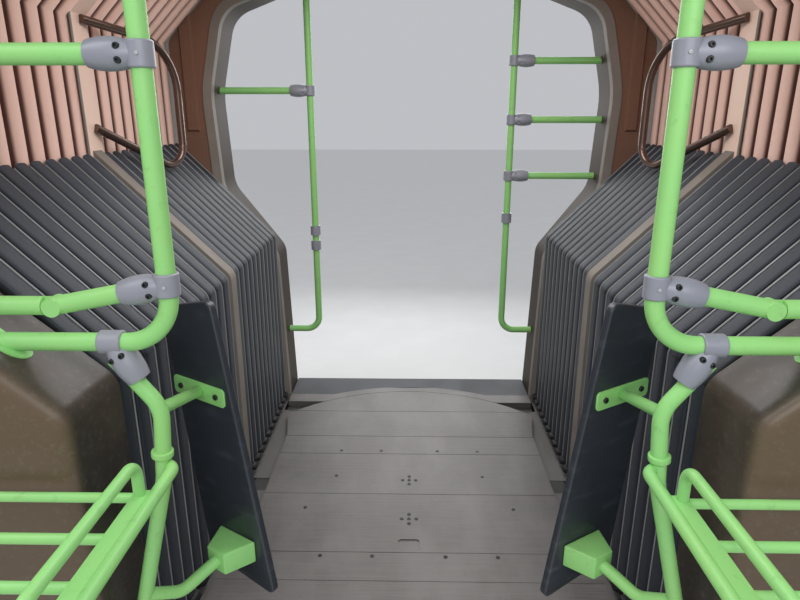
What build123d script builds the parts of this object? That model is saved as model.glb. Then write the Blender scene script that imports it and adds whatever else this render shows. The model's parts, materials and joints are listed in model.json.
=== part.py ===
from build123d import *
from math import atan, atan2, cos, degrees, hypot, pi, radians, sin, sqrt, tan
import os

# Gangway joint of an articulated city bus: the hinged passage between its front and rear sections.
# Millimetres. The origin is on the vertical turning axis, at the level the joint stands on.
# +Y runs from the front section to the rear section, +X to the right, +Z up.
# Heights in the tables are above the floor unless a comment says otherwise.

os.makedirs("parts", exist_ok=True)

# Main sizes
FLOOR_TOP = 280.0         # walking surface above the standing level
HEADROOM = 2200.0         # walking surface to the inside of the end frames' roof
HALF_WIDTH = 1150.0       # middle plane to the inside of the end frames
FRONT_END = -900.0        # where the front bellows half meets its end frame
REAR_END = 820.0          # where the rear bellows half meets its end frame
TOUCH = 0.3               # gap left between pieces that seat on each other
RUNNING_GAP = 6.0         # gap between pieces that sweep past each other
HALF_TURN = 25.0          # how far each section turns against the middle hoop, in degrees

# Ring section of the end frames and the middle hoop
RING_BOTTOM = 82.0        # inside of the rings' bottom above the standing level
RING_DEPTH = 82.0         # across the section, seen along the bus
RING_LENGTH = 60.0        # along the bus
HOOP_DEPTH = 72.0
HOOP_LENGTH = 40.0
LOW_CUT = 150.0           # bevel of the rings' bottom corners
ROOF_CUT = 370.0          # bevel where the sides turn into the roof
CORNER_RADIUS = 60.0      # inside radius at each end of a bevel
FLANGE_BOLT_HEIGHTS = (420.0, 2060.0)   # above the standing level
FLANGE_BOLT_RADIUS = 6.5

# Outer bellows
FOLD_DEPTH = 58.0
FOLD_CREST = 0.30         # share of a fold's length from its middle to each edge of the broad inner crest
FOLD_CROWN = 3.0          # how far the crest stands out in its middle
BELLOWS_SKIN = 9.0
BELLOWS_INSET = 9.0       # how far the inner folds stand outside the end frame's inside
FRONT_FOLDS = 12
REAR_FOLDS = 11

# Side bellows beside the passage
WALL = 690.0              # middle plane to the folds' face
SLOPE_END_GAP = 4.0       # outer edge of the slope to the end frames' inside
SHOULDER = 905.0          # height of the shoulder above the floor
SHOULDER_RADIUS = 48.0
WALL_THICKNESS = 34.0
WALL_LIFT = 12.0          # bottom edge above the floor
GROOVE = 20.0
GROOVE_DEPTH = 22.0
BEAD = 5.0                # light bead along each rib's rear edge
BEAD_PROUD = 2.5

# Middle hoop: beam on the centre pin, and the strips between the side bellows
BEAM_BOTTOM = 168.0
BEAM_HEIGHT = 70.0
BEAM_HALF = 30.0
BEAM_BOSS = 85.0
PIN_RADIUS = 40.0
PIN_CLEARANCE = 0.05
STRIP_HALF = 32.0         # half the strip's length along the bus
STRIP_PROUD = 8.0         # how far it stands in front of the folds
GUARD_TUBE = 13.0
GUARD_OUT = 165.0         # from the hoop's inside to the guard loop's upright
GUARD_BACK = 430.0        # from the hoop to the upright, along the bus
GUARD_HEIGHTS = (1450.0, 1262.0, 1285.0, 1730.0, 1826.0)   # foot, knee, upright's ends, top
GUARD_BENDS = (60.0, 60.0, 250.0)

# Doorways through the end frames: half width, height, corner radius
DOOR_HALF = 660.0
DOOR_TOP = 2080.0
CROWN_MARGIN = 182.0      # from the end frames' inside to the doorways' widest place
DOOR_CROWN = [(HALF_WIDTH - CROWN_MARGIN, 1600.0, 500.0), (HALF_WIDTH - 265.0, 1960.0, 150.0),
              (560.0, DOOR_TOP, 300.0)]
SLOPE_TOP_HALF = HALF_WIDTH - 190.0
FRONT_DOORWAY = [(DOOR_HALF, 0.0, 0.0), (DOOR_HALF + 4, 916.0, 90.0), (SLOPE_TOP_HALF, 1170.0, 120.0)] + DOOR_CROWN
REAR_DOORWAY = [(DOOR_HALF, 0.0, 0.0), (690.0, 800.0, 110.0), (SLOPE_TOP_HALF - 15, 1135.0, 150.0)] + DOOR_CROWN
COVER_SEAM = 1390.0       # where side and roof mouldings meet
COVER_WALL = 20.0
COVER_DEPTH = 250.0       # front mouldings, along the bus
FRONT_FACE = FRONT_END - COVER_DEPTH
FRONT_NECK = FRONT_END - 90.0     # where the front doorway is narrowest
FRONT_COVE = FRONT_END - 150.0    # where the funnel starts to narrow
FRONT_FLARE = 48.0        # how much wider the doorway is at the face
COVE_FLARE = 43.0
REAR_FACE = REAR_END + 230.0
TRIM_WIDTH = 42.0
TRIM_PROUD = 6.0          # how far the trim stands in front of the rear mouldings
FACET = (1034.0, 1098.0)  # raised facet of the rear mouldings, from the middle plane
FACET_PROUD = 12.0
FACET_FOOT = 1415.0       # lower end of the facet
FACET_LEDGE = 1875.0      # above this it is wide
FACET_TOP = 2030.0

# Floor and turntable
PLATE = 25.0              # plank plate
PLATE_RADIUS = 870.0      # its round rear end, about the turning axis
PLATE_GAP = 3.0           # from its round end to the threshold
WAIST_ANGLE = 33.0        # from the side, where the straight waist ends
WAIST_SPREAD = 10.0       # further round, where the round end begins
PLATE_FRONT_HALF = 655.0
PLATE_NARROWS = (-560.0, -450.0)
SEAMS = (630.0, 370.0, 210.0, -100.0, -450.0, -590.0, -800.0, -1000.0)   # plank joints, along the bus
SEAM_WIDTH = 3.0
SEAM_DEPTH = 1.5
SOCKET = (77.0, 65.0, 4.0, -410.0)   # recessed socket: width, length, depth, place along the bus
SOCKET_CORNER = 12.0
SLIDE_PLATE = 14.0
SLIDE_GAP = 0.5           # slide plate above the middle beam
SLIDE_REACH = 980.0
SLIDE_ROOM = 10.0         # slide plate to the strips' sweep
THRESHOLD_RIM = 60.0      # from the plate's round end to the rim's bulge
THRESHOLD_STEP = 40.0     # from the plate's round end back to the rear floor's edge
THRESHOLD_LENGTH = 90.0
FLOOR_SIDE_GAP = 1.0
REAR_FLOOR_DROP = 2.0
BORE_RADIUS = 240.0       # turntable bearing
RACE_RADIUS = 330.0
RACE_CLEARANCE = 0.6
BEARING_RADIUS = 400.0
BEARING_BOTTOM = 88.0
BEARING_HEIGHT = 52.0
ARM_HALF = 430.0          # half width of the bearing's arms at the end frames
REAR_ARM_RISE = 6.0       # rear arm above the bearing
REAR_ARM_THICKNESS = 15.0

# Guard boards: corners as place along the board and height
BOARD_PLACE = (445.0, -750.0)
BOARD_ANGLE = 32.0
BOARD_THICKNESS = 22.0
BOARD_OUTLINE = [(45.0, 1020.0), (-45.0, 60.0), (205.0, 130.0), (225.0, 1010.0)]
BOARD_RADII = [25.0, 30.0, 25.0, 25.0]
LUG = (172.0, 734.0, 150.0, 42.0)      # upper bracket plate: place, height, length, width
LUG_THICKNESS = 5.0
LUG_CORNER = 9.0
LUG_BOLTS = 58.0          # from the plate's middle to each bolt
LUG_BOLT_RADIUS = 5.5
BOX_BACK = (18.0, 168.0)  # lower bracket box: its ends on the board and at its front
BOX_FRONT = (52.0, 124.0)
BOX_DEPTH = 92.0
BOX_HEIGHTS = (201.0, 273.0)
BOX_CORNER = 7.0
STUB = 14.5               # radius of the upper bracket's tube
ARM_TUBE = 17.0           # radius of the lower bracket's tube

# Rails
TUBE = 20.0               # radius of the poles and the rails
POLE_X = 504.0
POLE_Y = -1060.0
RAIL = 1033.0             # height of the rail
RAIL_BEND = 100.0
RAIL_CLAMP_X = 636.0
CROSS_HEIGHTS = (1606.0, 1161.0)
LAP_X = 745.0             # swivel lap in the lower cross tube
LAP_DROP = 47.0
LAP_REACH = 22.0
CLAMP_SLEEVE = 26.0       # outer radius
CLAMP_HEIGHT = 50.0
CLAMP_LENGTH = 98.0       # from the pole's middle to the socket's mouth
CLAMP_NECK = 21.0
CLAMP_BELLY = 31.0
CLAMP_MOUTH = 25.0
CLAMP_SCREW = 6.5
CLAMP_SCREW_X = 33.0
CLAMP_SCREW_APART = 12.5
FLANGE = (60.0, 36.0, 5.0)            # oval rail flange: half length, half width, thickness
FLANGE_SCREWS = 29.0
FLANGE_SCREW_RADIUS = 4.5
LEG_TUBE = 18.0
LEG_ROUTE = [(636.0, 995.0), (548.0, 880.0), (562.0, 700.0), (655.0, 330.0), (690.0, 300.0)]
LEG_BENDS = [90.0, 200.0, 20.0]
LEG_COLLAR = (25.0, 14.0)             # radius, height
RACK_HEIGHT = 736.0
RACK_RAIL = 14.0
RACK_BAR = 12.0
RACK_SLAT = 10.5
RACK_FLAT = 11.2          # half height of the flat second bar
RACK_INNER = 531.0        # rail nearest the passage
RACK_COLLAR_X = 583.0     # the leg's middle where the rack joins it
RACK_SECOND = RACK_INNER + RACK_RAIL + RACK_BAR + TOUCH
RACK_OUTER = HALF_WIDTH - 70.0
RACK_END = -1600.0
RACK_SLATS = (-1188.0, -1317.0, -1440.0, -1560.0)
RACK_BEND = 30.0
ARCH_HEIGHT = 822.0
ARCH_START = -1190.0
REAR_POLE = (510.0, 970.0)
REAR_TUBE = 17.0
REAR_FOOT = 340.0
REAR_BEND = 70.0
REAR_TUBES = {"left": [1610.0], "right": [1750.0, 1470.0, 1190.0]}
REAR_CLAMPS = {"left": [900.0, 820.0], "right": [970.0]}

SIDES = {"left": -1, "right": 1}
PLATE_BOTTOM = FLOOR_TOP - PLATE
BEAM_TOP = BEAM_BOTTOM + BEAM_HEIGHT
SLIDE_BOTTOM = BEAM_TOP + SLIDE_GAP
SLIDE_TOP = SLIDE_BOTTOM + SLIDE_PLATE
BEARING_TOP = BEARING_BOTTOM + BEARING_HEIGHT
REAR_ARM_BOTTOM = BEARING_TOP + REAR_ARM_RISE
REAR_ARM_TOP = REAR_ARM_BOTTOM + REAR_ARM_THICKNESS
INNER_RACE = RACE_RADIUS - RACE_CLEARANCE / 2
OUTER_RACE = RACE_RADIUS + RACE_CLEARANCE / 2
SLOPE_TOP = HALF_WIDTH - SLOPE_END_GAP
STRIP_FACE = WALL - STRIP_PROUD
STRIP_CORNER = hypot(STRIP_FACE, STRIP_HALF)
STRIP_SWEEP = radians(HALF_TURN) + atan(STRIP_HALF / STRIP_FACE)
PLATE_HALF = STRIP_CORNER * cos(STRIP_SWEEP) - RUNNING_GAP   # its waist clears the strips at full lock
SLIDE_RADIUS = STRIP_FACE - SLIDE_ROOM
THRESHOLD_EDGE = PLATE_RADIUS - THRESHOLD_STEP
THRESHOLD_SEAM = THRESHOLD_EDGE - THRESHOLD_LENGTH
THRESHOLD_BULGE = PLATE_RADIUS + THRESHOLD_RIM
RAIL_HEIGHT = FLOOR_TOP + RAIL
RACK_Z = FLOOR_TOP + RACK_HEIGHT
SKEW = tan(pi / 8)


def station(y):
    """Plane across the passage at y, drawn with x to the right and z up."""
    return Plane.XZ.offset(-y)


def prism(face, y0, y1):
    """Solid of a cross-section, from y0 back to y1."""
    return extrude(station(y0) * face, amount=y0 - y1)


def loop(grow, radius=CORNER_RADIUS):
    """Bevelled outline of the inside of the end frames, grown outwards."""
    half, low, high = HALF_WIDTH + grow, RING_BOTTOM - grow, FLOOR_TOP + HEADROOM + grow
    low_cut, roof_cut = LOW_CUT + grow * (1 - SKEW), ROOF_CUT + grow * (1 - SKEW)
    right = [(half - low_cut, low), (half, low + low_cut), (half, high - roof_cut), (half - roof_cut, high)]
    points = right + [(-x, z) for x, z in reversed(right)]
    if not radius:
        return make_face(Polyline(*points, close=True))
    return make_face(FilletPolyline(*points, radius=[radius + grow] * len(points), close=True))


def ring(y0, y1, inner, outer):
    return prism(loop(outer) - loop(inner), y0, y1)


def doorway(table, grow=0.0):
    """Outline of a doorway, grown outwards, from below the floor up."""
    half = [(x, FLOOR_TOP + z, r) for x, z, r in table]
    half[0] = (DOOR_HALF, PLATE_BOTTOM - COVER_DEPTH / 2, 0.0)
    points = [(x, z) for x, z, r in half] + [(-x, z) for x, z, r in reversed(half)]
    radii = [r for x, z, r in half] + [r for x, z, r in reversed(half)]
    face = make_face(FilletPolyline(*points, radius=radii, close=True))
    return offset(face, amount=grow, kind=Kind.INTERSECTION) if grow else face


def block(x0, x1, y0, y1, z0, z1):
    return Pos((x0 + x1) / 2, (y0 + y1) / 2, (z0 + z1) / 2) * Box(x1 - x0, y1 - y0, z1 - z0)


def flat(outline, z0, z1):
    """Plate with an outline seen from above."""
    return extrude(Plane.XY.offset(z0) * outline, amount=z1 - z0)


def disc(radius, z0, z1):
    return Pos(0, 0, z0) * Cylinder(radius, z1 - z0, align=(Align.CENTER, Align.CENTER, Align.MIN))


def tube(points, radius, bends=()):
    """Round bar along straight runs joined by bends."""
    path = FilletPolyline(*points, radius=list(bends)) if bends else Line(*points)
    return sweep(Plane(path @ 0, z_dir=path % 0) * Circle(radius), path=path)


def mirrored(shape, side):
    return shape if side > 0 else mirror(shape, about=Plane.YZ)


def largest(shape):
    """The piece that is left when the ends that run into a neighbour are cut away."""
    return max(shape.solids(), key=lambda solid: solid.volume)


def save(name, *shapes):
    export_step(shapes[0] if len(shapes) == 1 else Compound(children=list(shapes)), f"parts/{name}.step")


def bolt_holes(y0, y1):
    holes = []
    for x in (-1, 1):
        for z in FLANGE_BOLT_HEIGHTS:
            hole = station(y0) * Pos(x * (HALF_WIDTH + RING_DEPTH / 2), z) * Circle(FLANGE_BOLT_RADIUS)
            holes.append(extrude(hole, amount=y0 - y1))
    return holes


def end_frame(y0, y1):
    return ring(y0, y1, 0, RING_DEPTH) - bolt_holes(y0, y1)


def fold_table(y0, y1, folds, crowned):
    """Stations and depths of a run of pleats: a broad inner crest between narrow outward folds."""
    pitch = (y1 - y0) / folds
    table = []
    for i in range(folds):
        table.append((y0 + i * pitch, FOLD_DEPTH if i else 0.0))
        table.append((y0 + (i + 0.5 - FOLD_CREST) * pitch, 0.0))
        if crowned:
            table.append((y0 + (i + 0.5) * pitch, -FOLD_CROWN))
        table.append((y0 + (i + 0.5 + FOLD_CREST) * pitch, 0.0))
    return table + [(y1, 0.0)]


def outer_bellows(y0, y1, folds):
    """Half of the outer bellows: a run of pleats, mitred at the corners, between an end frame and the hoop."""
    skins = []
    for base, crowned in ((BELLOWS_INSET + BELLOWS_SKIN, False), (BELLOWS_INSET, True)):
        sections = [station(y) * loop(base + depth, 0) for y, depth in fold_table(y0, y1, folds, crowned)]
        skins.append(loft(sections, ruled=True))
    return skins[0] - skins[1]


def wall_line(depth):
    """Side bellows' section, a depth behind the face: up the wall, round the shoulder, out the slope."""
    x = WALL + depth
    shoulder = FLOOR_TOP + SHOULDER - depth * SKEW
    return [(x, FLOOR_TOP + WALL_LIFT), (x, shoulder), (SLOPE_TOP, shoulder + SLOPE_TOP - x)]


def wall_band(front, back):
    """Section of the side bellows between two depths."""
    points = wall_line(front) + wall_line(back)[::-1]
    radii = [0, SHOULDER_RADIUS - front, 0, 0, SHOULDER_RADIUS - back, 0]
    return make_face(FilletPolyline(*points, radius=radii, close=True))


def side_bellows(y0, y1, folds):
    """Ribbed wall beside the passage: flat ribs with a bead on one edge and a groove between each two."""
    pitch = (y1 - y0) / folds
    joints = [y0 + i * pitch for i in range(1, folds)]
    cuts = [prism(wall_band(-BEAD, GROOVE_DEPTH), y - GROOVE / 2, y + GROOVE / 2) for y in joints]
    beads = [prism(wall_band(-BEAD_PROUD, BEAD), y - BEAD, y) for y in [j - GROOVE / 2 for j in joints] + [y1]]
    return prism(wall_band(0, WALL_THICKNESS), y0, y1) - cuts + beads


def cover_outline(inset):
    """Outside of a moulding ring: the end frames' inside, down to the floor plate."""
    below = Pos(0, PLATE_BOTTOM - HALF_WIDTH) * Rectangle(4 * HALF_WIDTH, 2 * HALF_WIDTH)
    return loop(-inset) - below


def split_cover(cover):
    """Left, right and roof mouldings, parted at the seams."""
    seam = FLOOR_TOP + COVER_SEAM
    reach = 2 * HALF_WIDTH
    low, high = block(0, reach, -reach, reach, 0, seam - TOUCH), block(-reach, reach, -reach, reach, seam, 2 * reach)
    right = cover & low
    return {"left": mirrored(right, -1), "right": right, "roof": cover & high}


def front_cover():
    """Front mouldings: a funnel that runs in nearly straight and then narrows to the neck."""
    rings = ((FRONT_FACE, FRONT_FLARE), (FRONT_COVE, COVE_FLARE), (FRONT_NECK, 0.0))
    funnel = loft([station(y) * doorway(FRONT_DOORWAY, grow) for y, grow in rings], ruled=True)
    body = prism(cover_outline(TOUCH), FRONT_FACE, FRONT_END - TOUCH) - funnel
    body -= prism(doorway(FRONT_DOORWAY), FRONT_NECK, FRONT_END)
    pocket = cover_outline(TOUCH + COVER_WALL) - doorway(FRONT_DOORWAY, FRONT_FLARE + COVER_WALL)
    return body - prism(pocket, FRONT_FACE + COVER_WALL, FRONT_END)


def facet():
    """Raised facet of the right rear moulding, with a sloping foot and a ledge."""
    inner, outer = FACET
    wide = HALF_WIDTH - 2 * TOUCH
    drop = 2 * FACET_PROUD
    outline = [(inner, FACET_FOOT), (outer, FACET_FOOT), (outer, FACET_LEDGE), (wide, FACET_LEDGE + drop),
               (wide, FACET_TOP - drop), (inner, FACET_TOP)]
    return make_face(Polyline(*[(x, FLOOR_TOP + z) for x, z in outline], close=True))


def rear_cover():
    """Rear mouldings, cut back for the trim, with a raised facet beside each bellows."""
    start = REAR_END + TRIM_PROUD
    outside = cover_outline(TOUCH)
    body = prism(outside - doorway(REAR_DOORWAY, TRIM_WIDTH + TOUCH), start, REAR_FACE)
    pocket = cover_outline(TOUCH + COVER_WALL) - doorway(REAR_DOORWAY, TRIM_WIDTH + COVER_WALL)
    body -= prism(pocket, start + COVER_WALL, REAR_FACE)
    raised = extrude(station(start) * facet(), amount=FACET_PROUD, taper=35) & prism(outside, 0, start)
    return body + raised + mirrored(raised, -1)


def floor_plate():
    """Plank plate of the front section: straight to the front, waisted, and round at its rear end."""
    turn = radians(WAIST_ANGLE)
    spread = radians(WAIST_ANGLE + WAIST_SPREAD)
    waist = (PLATE_HALF, PLATE_HALF * tan(turn))
    end = (PLATE_RADIUS * cos(spread), PLATE_RADIUS * sin(spread))
    wide = PLATE_FRONT_HALF - TOUCH
    right = [(wide, FRONT_FACE), (wide, PLATE_NARROWS[0]), (PLATE_HALF, PLATE_NARROWS[1]), waist, end]
    left = [(-x, y) for x, y in reversed(right)]
    outline = Polyline(*left, *right) + RadiusArc(end, (-end[0], end[1]), -PLATE_RADIUS)
    plate = flat(make_face(outline), PLATE_BOTTOM, FLOOR_TOP)
    grooves = [block(-PLATE_RADIUS, PLATE_RADIUS, y - SEAM_WIDTH / 2, y + SEAM_WIDTH / 2,
                     FLOOR_TOP - SEAM_DEPTH, FLOOR_TOP + 1) for y in SEAMS]
    width, length, depth, place = SOCKET
    recess = Pos(0, place) * RectangleRounded(width, length, SOCKET_CORNER)
    return plate - grooves - flat(recess, FLOOR_TOP - depth, FLOOR_TOP + 1)


def slide_plate():
    """Lower plate of the rear section, which the plank plate sweeps over."""
    turn = radians(WAIST_ANGLE)
    reach = (2 * SLIDE_REACH * cos(turn), 2 * SLIDE_REACH * sin(turn))
    fan = make_face(Polyline((0, 0), reach, (-reach[0], reach[1]), close=True))
    width = 2 * (DOOR_HALF - FLOOR_SIDE_GAP)
    outline = Circle(SLIDE_RADIUS) + (fan & Circle(SLIDE_REACH))
    outline += Pos(0, (THRESHOLD_EDGE + REAR_FACE) / 2) * Rectangle(width, REAR_FACE - THRESHOLD_EDGE)
    outline &= Rectangle(width, 4 * SLIDE_REACH) + Circle(SLIDE_RADIUS)
    outline -= Pos(0, 2 * REAR_FACE) * Rectangle(4 * REAR_FACE, 2 * REAR_FACE)
    return flat(outline - Circle(PIN_RADIUS), SLIDE_BOTTOM, SLIDE_TOP)


def threshold():
    """Rim of the rear floor, cut round the plank plate's end."""
    width = 2 * (DOOR_HALF - FLOOR_SIDE_GAP)
    outline = Pos(0, (THRESHOLD_SEAM + THRESHOLD_EDGE) / 2) * Rectangle(width, THRESHOLD_LENGTH)
    band = Pos(0, THRESHOLD_EDGE) * Rectangle(width, 2 * THRESHOLD_LENGTH)
    outline += Circle(THRESHOLD_BULGE) & band
    outline -= Circle(PLATE_RADIUS + PLATE_GAP)
    rear = Pos(0, (THRESHOLD_EDGE + REAR_FACE) / 2) * Rectangle(width, REAR_FACE - THRESHOLD_EDGE)
    rear -= Circle(THRESHOLD_BULGE + TOUCH)
    return flat(outline, SLIDE_TOP, FLOOR_TOP), flat(rear, SLIDE_TOP, FLOOR_TOP - REAR_FLOOR_DROP)


def sill(y0, y1, top):
    half = HALF_WIDTH - LOW_CUT - CORNER_RADIUS * SKEW
    return block(-half, half, y0, y1, RING_BOTTOM + TOUCH, top)


def arm(y, radius, z0, z1):
    """Plate from an end frame that narrows to the bearing."""
    outline = Polyline((-ARM_HALF, y), (ARM_HALF, y), (radius, 0), (-radius, 0), close=True)
    return flat(make_face(outline), z0, z1)


def front_underframe():
    fork = arm(FRONT_END, BEARING_RADIUS, BEARING_BOTTOM, BEARING_TOP)
    return sill(FRONT_END - RING_LENGTH, FRONT_END, PLATE_BOTTOM - TOUCH) + (
        fork - disc(BEARING_RADIUS + TOUCH, 0, 2 * BEARING_TOP))


def rear_underframe():
    tongue = arm(REAR_END, INNER_RACE, REAR_ARM_BOTTOM, REAR_ARM_TOP) + disc(INNER_RACE, REAR_ARM_BOTTOM, REAR_ARM_TOP)
    return sill(REAR_END, REAR_END + RING_LENGTH, SLIDE_BOTTOM) + tongue + disc(PIN_RADIUS, REAR_ARM_TOP, BEAM_TOP)


def ring_plate(inner, outer, z0, z1):
    return disc(outer, z0, z1) - disc(inner, z0 - 1, z1 + 1)


def middle_beam():
    beam = block(-HALF_WIDTH, HALF_WIDTH, -BEAM_HALF, BEAM_HALF, BEAM_BOTTOM, BEAM_TOP)
    beam &= prism(loop(-TOUCH), -BEAM_HALF, BEAM_HALF)
    return beam + disc(BEAM_BOSS, BEAM_BOTTOM, BEAM_TOP) - disc(PIN_RADIUS + PIN_CLEARANCE, 0, 2 * BEAM_TOP)


def middle_leg():
    """Light strip that carries the side bellows' inner edges: up from the beam and out along the slope."""
    points = wall_line(-STRIP_PROUD) + wall_line(WALL_THICKNESS)[::-1]
    points[0] = (points[0][0], BEAM_TOP + TOUCH)
    points[-1] = (points[-1][0], BEAM_TOP + TOUCH)
    radii = [0, SHOULDER_RADIUS + STRIP_PROUD, 0, 0, SHOULDER_RADIUS - WALL_THICKNESS, 0]
    return prism(make_face(FilletPolyline(*points, radius=radii, close=True)), -STRIP_HALF, STRIP_HALF)


def guard_loop():
    """Bent tube that keeps hands off the folds: out from the hoop, up and back to it."""
    foot, knee, low, high, top = [FLOOR_TOP + z for z in GUARD_HEIGHTS]
    hoop_x, out = HALF_WIDTH - 2.0, HALF_WIDTH - GUARD_OUT
    route = [(hoop_x, 0.0, foot), (out, GUARD_BACK * 0.8, knee), (out, GUARD_BACK, low + 2 * GUARD_TUBE),
             (out, GUARD_BACK, high), (hoop_x, 0.0, top)]
    return tube(route, GUARD_TUBE, GUARD_BENDS)


def board_plane():
    """Plane of the guard board's face: x along the board, y up, z towards the passage."""
    turn = radians(BOARD_ANGLE)
    return Plane((*BOARD_PLACE, FLOOR_TOP), x_dir=(cos(turn), sin(turn), 0), z_dir=(sin(turn), -cos(turn), 0))


def guard_board():
    """Upright board that keeps feet and bags off the folds; it widens downwards."""
    face = make_face(FilletPolyline(*BOARD_OUTLINE, radius=BOARD_RADII, close=True))
    board = extrude(board_plane() * face, amount=-BOARD_THICKNESS)
    return chamfer(board.faces().sort_by(Axis.Y)[0].edges(), 4.0)


def board_lug(leg):
    """Flat plate on the board, bolted at both ends, on a short tube from the rack's leg."""
    place, height, length, width = LUG
    face = Pos(place, height) * RectangleRounded(length, width, LUG_CORNER)
    for end in (-1, 1):
        face -= Pos(place + end * LUG_BOLTS, height) * Circle(LUG_BOLT_RADIUS)
    plate = extrude(board_plane() * face, amount=LUG_THICKNESS)
    target = board_plane().from_local_coords(Vector(place, height, LUG_THICKNESS / 2))
    stub = tube([(551.0, POLE_Y, FLOOR_TOP + 875.0), tuple(target)], STUB)
    return plate + (stub - extrude(board_plane() * Rectangle(2 * HEADROOM, 2 * HEADROOM), amount=-FOLD_DEPTH)) - leg


def board_box(leg):
    """Tapered box on the board, on a bent tube from the foot of the rack's leg."""
    low, high = BOX_HEIGHTS
    outline = [(BOX_BACK[0], 0.0), (BOX_BACK[1], 0.0), (BOX_FRONT[1], BOX_DEPTH), (BOX_FRONT[0], BOX_DEPTH)]
    plane = board_plane()
    level = Plane(plane.from_local_coords(Vector(0, low, 0)), x_dir=plane.x_dir, z_dir=(0, 0, -1))
    box = extrude(level * make_face(FilletPolyline(*outline, radius=[0, 0, 2 * BOX_CORNER, 2 * BOX_CORNER],
                                                   close=True)), amount=low - high)
    box = chamfer(box.faces().sort_by(Axis.Z)[-1].edges(), BOX_CORNER / 2)
    target = plane.from_local_coords(Vector((BOX_FRONT[0] + BOX_FRONT[1]) / 2, (low + high) / 2, BOX_DEPTH - 5.0))
    route = [(627.0, POLE_Y, FLOOR_TOP + 400.0), (620.0, -895.0, FLOOR_TOP + 255.0), tuple(target)]
    return box + tube(route, ARM_TUBE, [80.0]) - leg


def clamp(place, axis, heading):
    """Sleeve round a tube, with an egg-shaped socket that takes a second tube along a heading."""
    sleeve = Cylinder(CLAMP_SLEEVE, CLAMP_HEIGHT)
    sleeve = fillet(sleeve.edges().filter_by(GeomType.CIRCLE), 4.0)
    edge = Line((8, 0), (8, CLAMP_NECK)) + ThreePointArc(
        (8, CLAMP_NECK), (0.6 * CLAMP_LENGTH, CLAMP_BELLY), (CLAMP_LENGTH, CLAMP_MOUTH))
    edge += Polyline((CLAMP_LENGTH, CLAMP_MOUTH), (CLAMP_LENGTH, 0), (8, 0))
    socket = revolve(make_face(edge), axis=Axis.X)
    for side in (-1, 1):
        socket -= Pos(CLAMP_SCREW_X, side * CLAMP_SCREW_APART, -CLAMP_BELLY) * Cylinder(CLAMP_SCREW, 2 * CLAMP_BELLY / 3)
    return Plane(place, z_dir=axis) * sleeve + Plane(place, x_dir=heading, z_dir=(0, 1, 0)) * socket


def cove_point():
    """Where the rail meets the funnel's slope, and the slope's direction there."""
    (x0, z0, _), (x1, z1, _) = FRONT_DOORWAY[1:3]
    slope = atan2(z1 - z0, x1 - x0)
    grow = COVE_FLARE + (FRONT_FLARE - COVE_FLARE) * (POLE_Y - FRONT_COVE) / (FRONT_FACE - FRONT_COVE)
    x = x0 + (RAIL - z0) / tan(slope) + grow / sin(slope)
    return Vector(x, POLE_Y, RAIL_HEIGHT), slope


def grab_pole():
    """Pole that bends outwards into the rail, which ends in an oval flange on the moulding."""
    spot, slope = cove_point()
    lean = (FRONT_FLARE - COVE_FLARE) / (FRONT_COVE - FRONT_FACE)
    normal = Vector(-sin(slope), -lean, cos(slope)).normalized()
    along = (Vector(1, 0, 0) - normal * normal.X).normalized()
    top = FLOOR_TOP + DOOR_TOP + COVE_FLARE
    rail = tube([(POLE_X, POLE_Y, top), (POLE_X, POLE_Y, RAIL_HEIGHT), (spot.X + TUBE, POLE_Y, RAIL_HEIGHT)],
                TUBE, [RAIL_BEND])
    length, width, thickness = FLANGE
    oval = Ellipse(length, width)
    for side in (-1, 1):
        oval -= Pos(0, side * FLANGE_SCREWS) * Circle(FLANGE_SCREW_RADIUS)
    flange = extrude(Plane(spot + normal * TOUCH, x_dir=along, z_dir=normal) * oval, amount=thickness)
    behind = extrude(Plane(spot, x_dir=along, z_dir=normal) * Circle(2 * length), amount=-2 * length)
    return (rail - behind) + flange


def cross_tubes():
    """Upper cross tube, and the lower one in two lengths with a swivel lap."""
    upper, lower = [FLOOR_TOP + z for z in CROSS_HEIGHTS]
    start = POLE_X + CLAMP_LENGTH - 30.0
    end = HALF_WIDTH - 190.0
    lap = (LAP_X, POLE_Y, lower - LAP_DROP)
    heading = Vector(LAP_X - POLE_X, 0, -LAP_DROP).normalized()
    mouth = Vector(POLE_X, POLE_Y, lower) + heading * (CLAMP_LENGTH - 30.0)
    near = tube([tuple(mouth), lap], TUBE)
    near -= block(LAP_X - LAP_REACH, LAP_X + LAP_REACH, POLE_Y - TOUCH / 2, POLE_Y + 2 * TUBE, 0, 2 * HEADROOM)
    far = tube([lap, (end - 18.0, POLE_Y, lap[2])], TUBE)
    far -= block(LAP_X - LAP_REACH, LAP_X + LAP_REACH, POLE_Y - 2 * TUBE, POLE_Y + TOUCH / 2, 0, 2 * HEADROOM)
    half = TUBE - TOUCH / 2
    knuckle = Rot(90, 0, 0) * Cylinder(TUBE, half)
    near += Pos(LAP_X, POLE_Y - TOUCH / 2 - half / 2, lap[2]) * knuckle
    far += Pos(LAP_X, POLE_Y + TOUCH / 2 + half / 2, lap[2]) * knuckle
    return tube([(start, POLE_Y, upper), (end, POLE_Y, upper)], TUBE), near, far, heading


def rack_leg():
    """Curved leg from the rail down past the rack to the moulding."""
    leg = tube([(x, POLE_Y, FLOOR_TOP + z) for x, z in LEG_ROUTE], LEG_TUBE, LEG_BENDS)
    radius, height = LEG_COLLAR
    return leg + Pos(RACK_COLLAR_X, POLE_Y, RACK_Z + RACK_RAIL + height) * Rot(0, -10, 0) * Cylinder(radius, height)


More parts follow.
